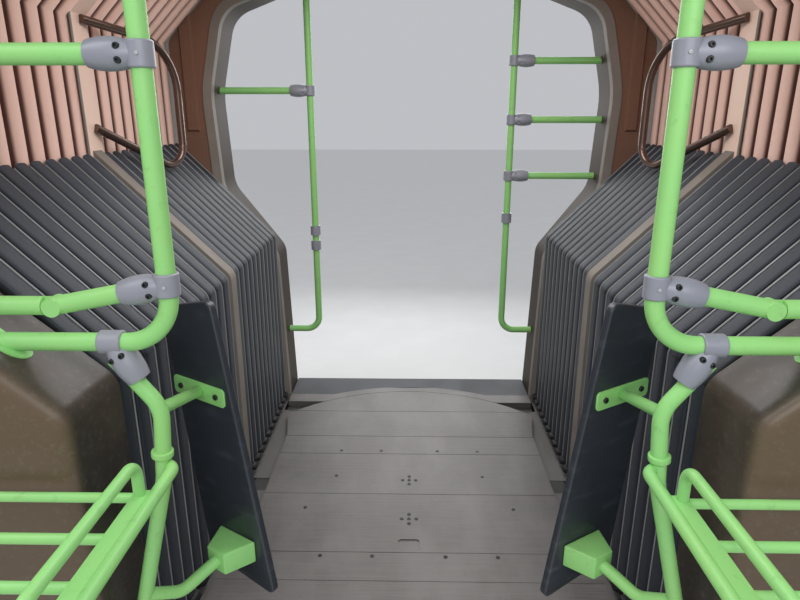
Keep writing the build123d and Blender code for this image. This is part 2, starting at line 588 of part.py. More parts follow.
def rack(leg, cover):
    """Slatted rack: a bent rail at the leg, a flat second bar, slats, outer rail and a raised arch."""
    rail = tube([(RACK_COLLAR_X, POLE_Y, RACK_Z), (RACK_INNER, POLE_Y, RACK_Z), (RACK_INNER, RACK_END, RACK_Z)],
                RACK_RAIL, [RACK_BEND])
    frame = rail + tube([(RACK_INNER, RACK_END + RACK_BAR, RACK_Z), (RACK_OUTER, RACK_END + RACK_BAR, RACK_Z)], RACK_SLAT)
    frame += tube([(RACK_OUTER, FRONT_FACE - TOUCH, RACK_Z), (RACK_OUTER, RACK_END, RACK_Z)], RACK_BAR)
    frame += block(RACK_INNER + RACK_RAIL / 2, RACK_SECOND + RACK_BAR + 1, RACK_END + 2, ARCH_START + RACK_BAR + 2,
                   RACK_Z - RACK_FLAT, RACK_Z + RACK_FLAT)
    for y in RACK_SLATS:
        frame += tube([(RACK_SECOND, y, RACK_Z), (RACK_OUTER, y, RACK_Z)], RACK_SLAT)
    arch_z = FLOOR_TOP + ARCH_HEIGHT
    frame += tube([(RACK_SECOND, ARCH_START, RACK_Z), (RACK_SECOND, ARCH_START, arch_z),
                   (RACK_SECOND, RACK_END + RACK_BAR, arch_z), (RACK_SECOND, RACK_END + RACK_BAR, RACK_Z)],
                  RACK_BAR, [35.0, 35.0])
    return largest(frame - leg - cover)


def rear_pole(side):
    """Rear pole with a bent foot, its cross tubes and clamps, on one side."""
    x, y = REAR_POLE
    pole = tube([(x, y, FLOOR_TOP + DOOR_TOP + TRIM_WIDTH), (x, y, FLOOR_TOP + REAR_FOOT),
                 (DOOR_HALF + TRIM_WIDTH / 2, y, FLOOR_TOP + REAR_FOOT)], REAR_TUBE, [REAR_BEND])
    clamps = [clamp((x, y, FLOOR_TOP + z), (0, 0, 1), (1, 0, 0)) for z in REAR_TUBES[side]]
    arms = [tube([(x + CLAMP_LENGTH - 30.0, y, FLOOR_TOP + z), (HALF_WIDTH - CROWN_MARGIN + TRIM_WIDTH, y, FLOOR_TOP + z)],
                 REAR_TUBE) for z in REAR_TUBES[side]]
    for z in REAR_CLAMPS[side]:
        clamps.append(Pos(x, y, FLOOR_TOP + z) * Cylinder(CLAMP_SLEEVE, CLAMP_HEIGHT))
    inside = prism(doorway(REAR_DOORWAY), REAR_END, REAR_FACE)
    return largest(pole & inside), clamps, [largest(a & inside) for a in arms]


front_covers = split_cover(front_cover())
rear_covers = split_cover(rear_cover())
trim = prism(doorway(REAR_DOORWAY, TRIM_WIDTH) - doorway(REAR_DOORWAY), REAR_END + TOUCH, REAR_FACE)
trim &= block(-HALF_WIDTH, HALF_WIDTH, 0, 2 * REAR_FACE, PLATE_BOTTOM, 2 * HEADROOM)
hoop = ring(-HOOP_LENGTH / 2, HOOP_LENGTH / 2, 0, HOOP_DEPTH)
low_cover, roof_cover = front_covers["right"], front_covers["roof"]

pole = largest(grab_pole() - roof_cover - low_cover)
upper_arm, near_arm, far_arm, arm_heading = cross_tubes()
arms = [largest(a - low_cover - roof_cover) for a in (upper_arm, near_arm, far_arm)]
leg = largest(rack_leg() - low_cover)
upper_clamp, lower_clamp = [clamp((POLE_X, POLE_Y, FLOOR_TOP + z), (0, 0, 1), heading)
                            for z, heading in zip(CROSS_HEIGHTS, ((1, 0, 0), tuple(arm_heading)))]
leg_heading = Vector(LEG_ROUTE[1][0] - RAIL_CLAMP_X, 0, LEG_ROUTE[1][1] - RAIL).normalized()
rail_clamp = clamp((RAIL_CLAMP_X, POLE_Y, RAIL_HEIGHT), (1, 0, 0), tuple(leg_heading))
clamps = [largest(upper_clamp - pole - upper_arm), largest(lower_clamp - pole - near_arm),
          largest(rail_clamp - pole - leg)]
frame = rack(leg, low_cover)
board = guard_board()
brackets = [board_lug(leg), board_box(leg)]
guard = guard_loop() - hoop
strip = middle_leg()

for name, side in SIDES.items():
    save(f"guard_board_{name}", mirrored(board, side))
    save(f"grab_pole_{name}", mirrored(pole, side))
    save(f"pole_clamps_{name}", *[mirrored(c, side) for c in clamps])
    save(f"cross_tubes_{name}", *[mirrored(a, side) for a in arms])
    save(f"rack_leg_{name}", mirrored(leg, side))
    save(f"rack_{name}", mirrored(frame, side))
    save(f"board_brackets_{name}", *[mirrored(b, side) for b in brackets])
    save(f"middle_leg_{name}", mirrored(strip, side))
    save(f"guard_loop_{name}", mirrored(guard, side))
    halves = {"front": (FRONT_END + TOUCH, -STRIP_HALF - 4 * SEAM_DEPTH, FRONT_FOLDS),
              "rear": (STRIP_HALF + 4 * SEAM_DEPTH, REAR_END - TOUCH, REAR_FOLDS)}
    for half, run in halves.items():
        save(f"side_bellows_{half}_{name}", mirrored(side_bellows(*run), side))
    rear, rear_clamps, rear_arms = rear_pole(name)
    save(f"rear_pole_{name}", mirrored(rear, side))
    save(f"rear_tubes_{name}", *[mirrored(a, side) for a in rear_arms])
    save(f"rear_clamps_{name}", *[mirrored(largest(c - rear - rear_arms), side) for c in rear_clamps])

save("front_frame", end_frame(FRONT_END - RING_LENGTH, FRONT_END))
save("rear_frame", end_frame(REAR_END, REAR_END + RING_LENGTH))
for piece, shape in front_covers.items():
    save(f"front_cover_{piece}", shape)
for piece, shape in rear_covers.items():
    save(f"rear_cover_{piece}", shape)
save("rear_trim", trim)
save("floor_plate", floor_plate())
save("slide_plate", slide_plate())
rim, rear_floor = threshold()
save("threshold", rim)
save("rear_floor", rear_floor)
save("front_underframe", front_underframe())
save("rear_underframe", rear_underframe())
save("bearing_outer_ring", ring_plate(OUTER_RACE, BEARING_RADIUS, BEARING_BOTTOM, BEARING_TOP))
save("bearing_inner_ring", ring_plate(BORE_RADIUS, INNER_RACE, BEARING_BOTTOM, REAR_ARM_BOTTOM - TOUCH))
save("middle_hoop", hoop)
save("middle_beam", middle_beam())
save("outer_bellows_front", outer_bellows(FRONT_END + TOUCH, -HOOP_LENGTH / 2 - TOUCH, FRONT_FOLDS))
save("outer_bellows_rear", outer_bellows(HOOP_LENGTH / 2 + TOUCH, REAR_END - TOUCH, REAR_FOLDS))
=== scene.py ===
# %% [markdown]
# # Gangway joint of an articulated bus
# The passage between a bus's two sections: mouldings at both ends, pleated bellows between them, a turning
# plank floor, guard boards and light green rails. Most rigid pieces come from the CAD frame and get finishes
# here. The bellows are cloth, so they are modelled here and stand for the plain CAD ones, and so are the few
# rigid pieces that stand nearest the camera.

# %% The frame
import math

import bmesh
import bpy
from mathutils import Matrix, Vector
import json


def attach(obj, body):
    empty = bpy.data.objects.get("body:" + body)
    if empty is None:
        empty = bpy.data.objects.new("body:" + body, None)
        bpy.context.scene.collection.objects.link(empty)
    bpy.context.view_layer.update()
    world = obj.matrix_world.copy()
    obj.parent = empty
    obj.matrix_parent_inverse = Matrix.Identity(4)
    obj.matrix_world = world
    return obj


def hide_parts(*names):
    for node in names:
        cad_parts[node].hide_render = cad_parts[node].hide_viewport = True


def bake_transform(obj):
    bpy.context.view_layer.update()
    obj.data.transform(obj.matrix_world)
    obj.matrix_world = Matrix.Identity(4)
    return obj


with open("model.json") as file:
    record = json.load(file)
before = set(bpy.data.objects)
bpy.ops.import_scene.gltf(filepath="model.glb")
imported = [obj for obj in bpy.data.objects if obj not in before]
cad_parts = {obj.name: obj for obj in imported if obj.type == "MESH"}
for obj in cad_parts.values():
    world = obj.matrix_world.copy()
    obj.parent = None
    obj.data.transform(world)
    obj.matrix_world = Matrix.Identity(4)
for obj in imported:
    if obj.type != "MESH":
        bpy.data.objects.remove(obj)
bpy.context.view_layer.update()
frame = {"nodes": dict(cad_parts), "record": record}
NODES = frame["nodes"]
SLOT_OF = {part["node"]: part["material_slot"] for part in frame["record"]["subparts"]}

# %% [markdown]
# ## Camera
# The photograph was taken at eye height inside the front section, looking back through the joint and 17
# degrees down. The lens is 610 pixels long in a picture 800 wide, which is 27.5 mm on a 36 mm sensor. The
# passage's vanishing point lies 11 pixels right of the middle, so the camera turns a degree to the left.

# %% Camera
FLOOR = 0.28
EYE_HEIGHT = 1.50
EYE_BACK = -2.27
FOCAL_PIXELS = 610.0
PICTURE_WIDTH = 800.0
SENSOR = 36.0
TILT = 17.0
YAW = math.degrees(math.atan(11.0 / FOCAL_PIXELS * math.cos(math.radians(TILT))))

scene = bpy.context.scene
bpy.ops.object.camera_add(location=(0, EYE_BACK, FLOOR + EYE_HEIGHT),
                          rotation=(math.radians(90 - TILT), 0, math.radians(YAW)))
camera = bpy.context.object
camera.data.sensor_width = SENSOR
camera.data.lens = SENSOR * FOCAL_PIXELS / PICTURE_WIDTH
camera.data.clip_start = 0.02
scene.camera = camera
print("lens", round(camera.data.lens, 2), "mm, turned", round(YAW, 2), "degrees")

# %% [markdown]
# ## Floor, backdrop and light
# A plain pale floor and a pale world. The joint is open only at its two ends, so soft lamps stand before and
# behind it, and one hangs under its roof where a bus has its ceiling lights. A fourth lights the outside.
# None of them shows in the picture.

# %% Stage and lamps
bpy.ops.mesh.primitive_plane_add(size=60, location=(0, 0, -0.002))
ground = bpy.context.object
ground.name = "ground"


def soft_lamp(name, place, aim, width, height, power):
    bpy.ops.object.light_add(type="AREA", location=place)
    lamp = bpy.context.object
    lamp.name = name
    lamp.rotation_euler = (Vector(aim) - Vector(place)).to_track_quat("-Z", "Y").to_euler()
    lamp.data.shape = "RECTANGLE"
    lamp.data.size, lamp.data.size_y = width, height
    lamp.data.energy = power
    lamp.visible_camera = False
    return lamp


soft_lamp("lamp_front", (0.5, -3.3, 2.7), (0, 0.1, 1.2), 2.4, 1.6, 42)
soft_lamp("lamp_rear", (0.2, 3.2, 2.3), (0, 0, 1.1), 2.4, 1.8, 40)
soft_lamp("lamp_roof", (0, -0.1, FLOOR + 2.14), (0, -0.1, 0), 0.9, 1.2, 18)
soft_lamp("lamp_over", (-2.5, -2.0, 4.5), (0, 0, 1.0), 3.0, 3.0, 80)

world = bpy.data.worlds.new("pale_room")
scene.world = world
world.use_nodes = True
world.node_tree.nodes["Background"].inputs["Color"].default_value = (0.93, 0.95, 1.0, 1)
world.node_tree.nodes["Background"].inputs["Strength"].default_value = 0.55
scene.view_settings.view_transform = "Standard"

# %% [markdown]
# ## Shader maths
# A finish is a node tree, which is tedious to wire by hand. The small class below wraps a socket, so that an
# expression such as `1 - mask` adds the Math nodes it needs. `Finish.node` makes any other node.


# %% Shader helper
class Value:
    """A shader socket that can be used in arithmetic."""

    def __init__(self, finish, socket):
        self.finish, self.socket = finish, socket

    def maths(self, operation, first, second):
        return self.finish.node("Math", {"operation": operation}, {0: first, 1: second})

    def __add__(self, other):
        return self.maths("ADD", self, other)

    def __sub__(self, other):
        return self.maths("SUBTRACT", self, other)

    def __rsub__(self, other):
        return self.maths("SUBTRACT", other, self)

    def __mul__(self, other):
        return self.maths("MULTIPLY", self, other)

    __radd__ = __add__
    __rmul__ = __mul__


class Finish:
    """A material on a Principled shader; the fixed values are set on the shader's own sockets."""

    def __init__(self, name, colour, roughness, **fixed):
        self.material = bpy.data.materials.new(name)
        self.material.use_nodes = True
        self.tree = self.material.node_tree
        self.shader = self.tree.nodes["Principled BSDF"]
        self.shader.inputs["Base Color"].default_value = (*colour, 1)
        self.shader.inputs["Roughness"].default_value = roughness
        for socket, value in fixed.items():
            self.shader.inputs[socket.replace("_", " ")].default_value = value
        self.place = self.node("TexCoord", output="Object")

    def node(self, kind, settings=None, inputs=None, output=0):
        made = self.tree.nodes.new("ShaderNode" + kind)
        for key, value in (settings or {}).items():
            setattr(made, key, value)
        for key, value in (inputs or {}).items():
            self.plug(made.inputs[key], value)
        return Value(self, made.outputs[output])

    def plug(self, socket, value):
        if isinstance(value, Value):
            self.tree.links.new(value.socket, socket)
        elif isinstance(value, tuple) and len(value) == 3 and socket.type == "RGBA":
            socket.default_value = (*value, 1)
        else:
            socket.default_value = value

    def stretched(self, scale):
        return self.node("Mapping", None, {"Vector": self.place, "Scale": scale})

    def noise(self, scale, detail=3.0, rough=0.5, at=None):
        return self.node("TexNoise", None, {"Vector": at or self.place, "Scale": scale, "Detail": detail,
                                            "Roughness": rough})

    def part(self, axis):
        return self.node("SeparateXYZ", None, {0: self.place}, output="XYZ".index(axis))

    def ramp(self, value, low, high, start=0.0, end=1.0):
        return self.node("MapRange", {"interpolation_type": "SMOOTHSTEP"},
                         {"Value": value, "From Min": low, "From Max": high, "To Min": start, "To Max": end})

    def blend(self, amount, first, second):
        return self.node("Mix", {"data_type": "RGBA"}, {0: amount, 6: first, 7: second}, output=2)

    def use(self, **sockets):
        for key, value in sockets.items():
            self.plug(self.shader.inputs[key.replace("_", " ")], value)
        return self

    def bump(self, height, strength, distance=0.001):
        normal = self.node("Bump", None, {"Height": height, "Strength": strength, "Distance": distance})
        return self.use(Normal=normal)


# %% [markdown]
# ## Finishes
# Every finish starts from its plain colour and adds what age and handling do: dust, scuffs along edges, a
# slightly uneven gloss. Some add painted shade and painted light too, each said where it stands. The grain is
# at its true scale, a millimetre or less for moulded plastic and paint.


# %% Painted and moulded finishes
def paint(name, colour, worn):
    """Satin paint on tube: an orange-peel surface, faint mottling and a little grime."""
    finish = Finish(name, colour, 0.3, Specular_IOR_Level=0.35)
    mottle = finish.ramp(finish.noise(5.0, 4.0), 0.35, 0.7)
    grime = finish.ramp(finish.noise(38.0, 5.0, 0.6), 0.56, 0.74, 0.0, 0.30)
    tint = finish.blend(mottle * 0.35, colour, worn)
    finish.use(Base_Color=finish.blend(grime, tint, tuple(c * 0.62 for c in colour)),
               Roughness=finish.ramp(finish.noise(16.0), 0.3, 0.75, 0.34, 0.48))
    return finish.bump(finish.noise(420.0, 2.0), 0.10, 0.0006).material


def plastic(name, colour, dusty, roughness, grain=900.0, depth=0.25):
    """Moulded plastic: fine grain, dust that gathers in soft patches, and rubbed places."""
    finish = Finish(name, colour, roughness)
    patch = finish.ramp(finish.noise(3.2, 5.0, 0.55), 0.38, 0.72)
    fine = finish.ramp(finish.noise(60.0, 4.0, 0.65), 0.5, 0.8, 0.0, 0.5)
    tint = finish.blend(patch * 0.75, colour, dusty)
    finish.use(Base_Color=finish.blend(fine * 0.35, tint, dusty),
               Roughness=finish.ramp(patch, 0.0, 1.0, roughness - 0.06, roughness + 0.12))
    return finish.bump(finish.noise(grain, 2.0), depth, 0.0004).material


GREEN = (0.275, 0.62, 0.20)
rail_paint = paint("rail_paint", GREEN, (0.33, 0.60, 0.18))
loop_paint = Finish("loop_tube", (0.16, 0.105, 0.085), 0.24, Metallic=0.75).material
clamp_plastic = plastic("clamp", (0.245, 0.255, 0.30), (0.30, 0.30, 0.33), 0.36)
frame_alloy = plastic("frame_alloy", (0.40, 0.39, 0.37), (0.47, 0.45, 0.42), 0.45)
black_steel = plastic("steel", (0.035, 0.036, 0.04), (0.07, 0.065, 0.06), 0.5)
vinyl = plastic("vinyl", (0.055, 0.06, 0.07), (0.10, 0.10, 0.105), 0.6, 500.0, 0.4)

# %% [markdown]
# The guard boards are charcoal plastic with a leathery grain. Feet and bags have rubbed them lighter, most of
# all near the bottom.


# %% Guard board finish
def board_finish():
    finish = Finish("board", (0.029, 0.033, 0.041), 0.42)
    height = finish.part("Z")
    scuff = finish.noise(1.0, 6.0, 0.6, finish.stretched((9.0, 9.0, 34.0)))
    low = 1 - finish.ramp(height, 0.35, 0.95)
    rubbed = finish.ramp(scuff, 0.52, 0.72) * (low * 0.6 + 0.25)
    finish.use(Base_Color=finish.blend(rubbed, (0.029, 0.034, 0.042), (0.088, 0.095, 0.110)),
               Roughness=finish.ramp(rubbed, 0.0, 1.0, 0.36, 0.55))
    grain = finish.node("TexVoronoi", {"feature": "DISTANCE_TO_EDGE"},
                        {"Vector": finish.place, "Scale": 420.0})
    return finish.bump(grain, 0.18, 0.0005).material


guard_plastic = board_finish()

# %% [markdown]
# The mouldings are brown, redder at the rear and dustier low down. At the front the grey-brown is darkened as
# painted shade on the cheek, and the flat face is lightened to tan as painted light. Their height and place
# along the bus choose the tint.


# %% Moulding finish
def moulding_finish():
    finish = Finish("moulding", (0.13, 0.085, 0.065), 0.46, Specular_IOR_Level=0.32)
    along, height = finish.part("Y"), finish.part("Z")
    # The front's grey is darkened as painted shade for the cheek; the tan lightens the front face as painted
    # light.
    red, shaded_grey, tan = (0.20, 0.100, 0.066), (0.040, 0.034, 0.029), (0.128, 0.088, 0.055)
    rear = finish.ramp(along, -0.2, 0.2)
    face = 1 - finish.ramp(along, -1.148, -1.118)
    base = finish.blend(rear, shaded_grey, red)
    patch = finish.ramp(finish.noise(2.6, 5.0, 0.6), 0.36, 0.7)
    base = finish.blend(patch * 0.30, base, (0.17, 0.125, 0.088))
    base = finish.blend(face * 0.9, base, tan)
    dust = finish.ramp(finish.noise(70.0, 5.0, 0.7), 0.5, 0.78) * 0.35
    low = 1 - finish.ramp(height, 0.3, 0.8)
    base = finish.blend(dust * (0.6 + low * 0.6), base, (0.27, 0.235, 0.195))
    finish.use(Base_Color=base, Roughness=finish.ramp(patch, 0.0, 1.0, 0.29, 0.44))
    return finish.bump(finish.noise(760.0, 2.0), 0.30, 0.0004).material


moulding = moulding_finish()

# %% [markdown]
# The profiles that clamp the bellows are beige. Behind the rear one, along the doorway, the strip is painted
# dark brown as painted shade.


# %% Profile finish
def trim_finish():
    finish = Finish("trim", (0.21, 0.185, 0.16), 0.6, Specular_IOR_Level=0.15)
    # Painted shade: dark brown beyond the rear profile.
    shade_behind_profile = finish.ramp(finish.part("Y"), 0.862, 0.870)
    patch = finish.ramp(finish.noise(4.0, 5.0, 0.6), 0.36, 0.7)
    beige = finish.blend(patch * 0.6, (0.21, 0.185, 0.16), (0.27, 0.24, 0.21))
    finish.use(Base_Color=finish.blend(shade_behind_profile, beige, (0.050, 0.036, 0.026)))
    return finish.bump(finish.noise(760.0, 2.0), 0.25, 0.0004).material


trim_strip = trim_finish()

# %% [markdown]
# The floor is made of aluminium planks laid across the passage. Shoes polish them along the bus and wear
# fine streaks across, and grit leaves a grey bloom in places.


# %% Plank finish
def plank_finish():
    finish = Finish("planks", (0.22, 0.21, 0.20), 0.42, Metallic=0.25)
    streak = finish.noise(1.0, 5.0, 0.65, finish.stretched((5.0, 230.0, 5.0)))
    worn = finish.ramp(finish.noise(3.0, 5.0, 0.6, finish.stretched((1.2, 0.7, 1.0))), 0.35, 0.68)
    spots = finish.ramp(finish.noise(55.0, 5.0, 0.7), 0.58, 0.76)
    tint = finish.blend(finish.ramp(streak, 0.3, 0.7), (0.104, 0.096, 0.091), (0.160, 0.148, 0.141))
    tint = finish.blend(worn * 0.45, tint, (0.23, 0.22, 0.213))
    finish.use(Base_Color=finish.blend(spots * 0.5, tint, (0.085, 0.08, 0.077)),
               Roughness=finish.ramp(streak, 0.2, 0.8, 0.36, 0.55))
    return finish.bump(streak, 0.25, 0.0006).material


planks = plank_finish()

# %% [markdown]
# Both kinds of bellows are coated cloth. Their meshes carry an attribute, `fold`, that is 1 on the crests
# that face the passage and falls to 0 in the gaps between them, so that the finish can darken the gaps as
# painted shade, and the outside with the same colour. A UV map, `lay`, follows the cloth and lays its weave.
# Up to the floor's height the cloth is painted nearly black as painted shade.


# %% Cloth finishes
def cloth_finish(name, crest, shaded_hollow, roughness, weave):
    finish = Finish(name, crest, roughness, Specular_IOR_Level=0.3)
    fold = finish.node("Attribute", {"attribute_name": "fold"}, output="Fac")
    faded = finish.ramp(finish.noise(2.2, 4.0, 0.6), 0.35, 0.7)
    stain = finish.ramp(finish.noise(24.0, 5.0, 0.65), 0.55, 0.8)
    tint = finish.blend(faded * 0.4, crest, tuple(min(1.0, c * 1.16) for c in crest))
    tint = finish.blend(stain * 0.25, tint, tuple(c * 0.72 for c in crest))
    # Painted shade: nearly black below the floor's height, and the dark hollow colour in the gaps between
    # crests.
    shade_below_floor = 1 - finish.ramp(finish.part("Z"), 0.27, 0.33)
    tint = finish.blend(finish.ramp(fold, 0.15, 0.85), shaded_hollow, tint)
    finish.use(Base_Color=finish.blend(shade_below_floor * 0.95, tint, (0.014, 0.012, 0.011)))
    lay = finish.node("UVMap", {"uv_map": "lay"})
    threads = finish.node("TexWave", {"wave_type": "BANDS", "bands_direction": "DIAGONAL"},
                          {"Vector": lay, "Scale": weave, "Distortion": 0.6, "Detail": 1.0})
    return finish.bump(threads + finish.noise(300.0, 2.0) * 0.5, 0.12, 0.0005).material


SALMON = (0.96, 0.63, 0.53)
# The second colour of each cloth is painted shade for its gaps or grooves.
fold_cloth = cloth_finish("bellows_cloth", SALMON, (0.150, 0.060, 0.045), 0.7, 180.0)
wall_cloth = cloth_finish("side_cloth", (0.030, 0.035, 0.046), (0.008, 0.008, 0.009), 0.52, 220.0)
band_cloth = plastic("band_cloth", (0.86, 0.62, 0.50), (0.80, 0.56, 0.46), 0.6, 500.0, 0.3)
foot_rubber = plastic("foot_rubber", (0.006, 0.006, 0.006), (0.012, 0.012, 0.012), 0.6)
apron_rubber = plastic("apron_rubber", (0.120, 0.114, 0.108), (0.16, 0.153, 0.146), 0.6, 500.0, 0.4)
# The piping's light grey is partly a painted highlight along the ribs' edges.
piping_and_highlight = plastic("bead", (0.22, 0.222, 0.225), (0.28, 0.275, 0.27), 0.35)
screw_steel = Finish("screws", (0.05, 0.05, 0.053), 0.35, Metallic=0.6)
screw_steel.use(Roughness=screw_steel.ramp(screw_steel.noise(300.0), 0.3, 0.7, 0.22, 0.45))
screw_metal = screw_steel.material
bright_rivet = plastic("rivets", (0.45, 0.45, 0.46), (0.5, 0.5, 0.5), 0.3)
# The flat floor screws are near black, as painted shade in their recesses.
dark_screw = plastic("dark_screws", (0.008, 0.008, 0.008), (0.02, 0.02, 0.02), 0.5)

# %% Finishes on the CAD nodes
FINISHES = {"rail_paint": rail_paint, "clamp": clamp_plastic, "board": guard_plastic, "moulding": moulding,
            "trim": trim_strip, "planks": planks, "steel": black_steel, "frame_alloy": frame_alloy,
            "vinyl": vinyl, "bellows_cloth": fold_cloth, "side_cloth": wall_cloth, "loop_tube": loop_paint}
for node, piece in NODES.items():
    piece.data.materials.clear()
    piece.data.materials.append(FINISHES[SLOT_OF[node]])
pale = plastic("ground", (0.80, 0.80, 0.79), (0.84, 0.84, 0.83), 0.7)
ground.data.materials.append(pale)
print(len(FINISHES), "finishes on", len(NODES), "nodes")

# %% [markdown]
# ## Modelling helpers
# Each new piece starts as a primitive and is shaped in edit mode. A few steps come back all the time: nothing
# selected, start of a piece, applying modifiers, rounding edges, copying, mirroring and joining.


# %% Helpers
def fresh():
    if bpy.context.object and bpy.context.object.mode != "OBJECT":
        bpy.ops.object.mode_set(mode="OBJECT")
    bpy.ops.object.select_all(action="DESELECT")


def start(name, add, **how):
    """Adds a primitive in edit mode, with all of it selected."""
    fresh()
    add(**how)
    piece = bpy.context.object
    piece.name = piece.data.name = name
    bpy.ops.object.transform_apply(location=True, rotation=True, scale=True)
    bpy.ops.object.mode_set(mode="EDIT")
    bpy.ops.mesh.select_all(action="SELECT")
    return piece


def finished(piece):
    fresh()
    piece.select_set(True)
    bpy.context.view_layer.objects.active = piece
    return piece


def apply_all(piece):
    finished(piece)
    for modifier in list(piece.modifiers):
        bpy.ops.object.modifier_apply(modifier=modifier.name)
    return piece


def softened(piece, width, segments=3):
    """Rounds the sharp edges of a piece and applies its modifiers."""
    edge = piece.modifiers.new("edge", "BEVEL")
    edge.width, edge.segments, edge.limit_method = width, segments, "ANGLE"
    return apply_all(piece)


def joined(name, parts):
    fresh()
    for part in parts:
        part.select_set(True)
    bpy.context.view_layer.objects.active = parts[0]
    if len(parts) > 1:
        bpy.ops.object.join()
    piece = bpy.context.object
    piece.name = piece.data.name = name
    return piece


def copied(piece, place):
    """A copy with a mesh of its own, put in place in its mesh."""
    twin = piece.copy()
    twin.data = piece.data.copy()
    twin.data.transform(place)
    scene.collection.objects.link(twin)
    return twin


def mirrored(piece, name):
    """The left-hand twin of a right-hand piece."""
    twin = copied(piece, Matrix.Scale(-1, 4, (1, 0, 0)))
    twin.name = twin.data.name = name
    twin.data.flip_normals()
    return twin


def dressed(piece, material, smooth=35.0):
    piece.data.materials.clear()
    piece.data.materials.append(material)
    finished(piece)
    bpy.ops.object.shade_smooth_by_angle(angle=math.radians(smooth))
    return piece


# %% [markdown]
# ## Outer bellows
# On the real joint each pleat is a strip of cloth sewn edge to edge with the next, clamped outside in a thin
# profile and mitred where the sides turn into the roof. One pleat could be swept along the outline, but it is
# simpler the other way round: the outline of the whole passage is drawn once, as a ring of eight corners, and
# drawn out along the bus step by step, a little wider or narrower each time. The array repeats it. `PLEAT`
# gives the steps: the place along the pleat, as a share of its pitch, and how far outside the crests it lies.

# %% Outer bellows
HALF_WIDTH = 1.15
RING_LOW, RING_HIGH = 0.082, 2.48
LOW_CUT, ROOF_CUT = 0.15, 0.37
INSET = 0.009
CENTRE_HEIGHT = (RING_LOW + RING_HIGH) / 2
HALF_HEIGHT = (RING_HIGH - RING_LOW) / 2
FRONT_END, HOOP, REAR_END = -0.900, 0.0205, 0.820
TOUCH = 0.0003
PLEAT = [(-0.5, 0.066), (-0.43, 0.064), (-0.37, 0.054), (-0.335, 0.036), (-0.31, 0.018), (-0.275, 0.007),
         (-0.22, 0.0016), (-0.12, -0.0016), (0.0, -0.0026), (0.12, -0.0016), (0.22, 0.0016), (0.275, 0.007),
         (0.31, 0.018), (0.335, 0.036), (0.37, 0.054), (0.43, 0.064), (0.5, 0.066)]
CLOTH = 0.0045


def ring_corners(grow):
    half, low, high = HALF_WIDTH + grow, RING_LOW - grow, RING_HIGH + grow
    skew = 1 - math.tan(math.pi / 8)
    low_cut, roof_cut = LOW_CUT + grow * skew, ROOF_CUT + grow * skew
    right = [(half - low_cut, low), (half, low + low_cut), (half, high - roof_cut), (half - roof_cut, high)]
    return right + [(-x, z) for x, z in reversed(right)]


def outline_ring(name, grow, y):
    """The passage's outline as a ring of eight corners, still in edit mode."""
    piece = start(name, bpy.ops.mesh.primitive_circle_add, vertices=8, radius=1, fill_type="NOTHING",
                  rotation=(math.pi / 2, 0, 0))
    mesh = bmesh.from_edit_mesh(piece.data)
    ordered = sorted(mesh.verts, key=lambda v: math.atan2(v.co.z, v.co.x))
    corners = sorted(ring_corners(grow), key=lambda c: math.atan2(c[1] - CENTRE_HEIGHT, c[0]))
    for vertex, (x, z) in zip(ordered, corners):
        vertex.co = (x, y, z)
    bmesh.update_edit_mesh(piece.data)
    return piece


def pleat_ring(name, pitch):
    """One pleat all the way round: the outline drawn along the bus and resized at each step."""
    piece = outline_ring(name, INSET + PLEAT[0][1], 0)
    for (t0, g0), (t1, g1) in zip(PLEAT, PLEAT[1:]):
        bpy.ops.mesh.extrude_edges_move(TRANSFORM_OT_translate={"value": (0, (t1 - t0) * pitch, 0)})
        wide = (HALF_WIDTH + INSET + g1) / (HALF_WIDTH + INSET + g0)
        tall = (HALF_HEIGHT + INSET + g1) / (HALF_HEIGHT + INSET + g0)
        bpy.ops.transform.resize(value=(wide, 1, tall), center_override=(0, 0, CENTRE_HEIGHT))
    return finished(piece)


def fold_attribute(piece, depth_of):
    """Stores how near each point lies to the crests, and the cloth's own lay."""
    fold = piece.data.attributes.new("fold", "FLOAT", "POINT")
    for vertex in piece.data.vertices:
        fold.data[vertex.index].value = depth_of(vertex.co)
    lay = piece.data.uv_layers.new(name="lay")
    for loop in piece.data.loops:
        point = piece.data.vertices[loop.vertex_index].co
        lay.data[loop.index].uv = (point.y * 2, (abs(point.x) + point.z) * 0.7)


def ring_depth(point):
    """How far a point lies outside the end frames' inner outline."""
    x, z = abs(point.x), point.z
    skew = math.sqrt(0.5)
    roof_side = (x + z - HALF_WIDTH - RING_HIGH + ROOF_CUT) * skew
    low_side = (x - z - HALF_WIDTH + RING_LOW + LOW_CUT) * skew
    return max(x - HALF_WIDTH, z - RING_HIGH, RING_LOW - z, roof_side, low_side)


def pleat_share(point):
    """1 on the crests, 0 from a quarter of the pleats' depth outwards."""
    return 1 - min(1.0, max(0.0, ring_depth(point) - INSET) / 0.016)


def outer_half(name, y0, y1, folds):
    pitch = (y1 - y0) / folds
    piece = pleat_ring(name, pitch)
    piece.data.transform(Matrix.Translation((0, y0, 0)))
    array = piece.modifiers.new("folds", "ARRAY")
    array.use_relative_offset, array.use_constant_offset = False, True
    array.constant_offset_displace = (0, pitch, 0)
    array.count = folds
    array.use_merge_vertices, array.merge_threshold = True, 0.0005
    apply_all(piece)
    solid = piece.modifiers.new("cloth", "SOLIDIFY")
    solid.thickness, solid.offset, solid.use_even_offset = CLOTH, 0.0, True
    apply_all(piece)
    fold_attribute(piece, pleat_share)
    dressed(piece, fold_cloth, 50)
    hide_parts(name.replace("folds", "bellows"))
    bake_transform(piece)
    print(name, len(piece.data.polygons), "faces,", folds, "folds of", round(pitch * 1000, 1), "mm")


outer_half("outer_folds_front", FRONT_END + TOUCH, -HOOP, 10)
outer_half("outer_folds_rear", HOOP, REAR_END - TOUCH, 9)
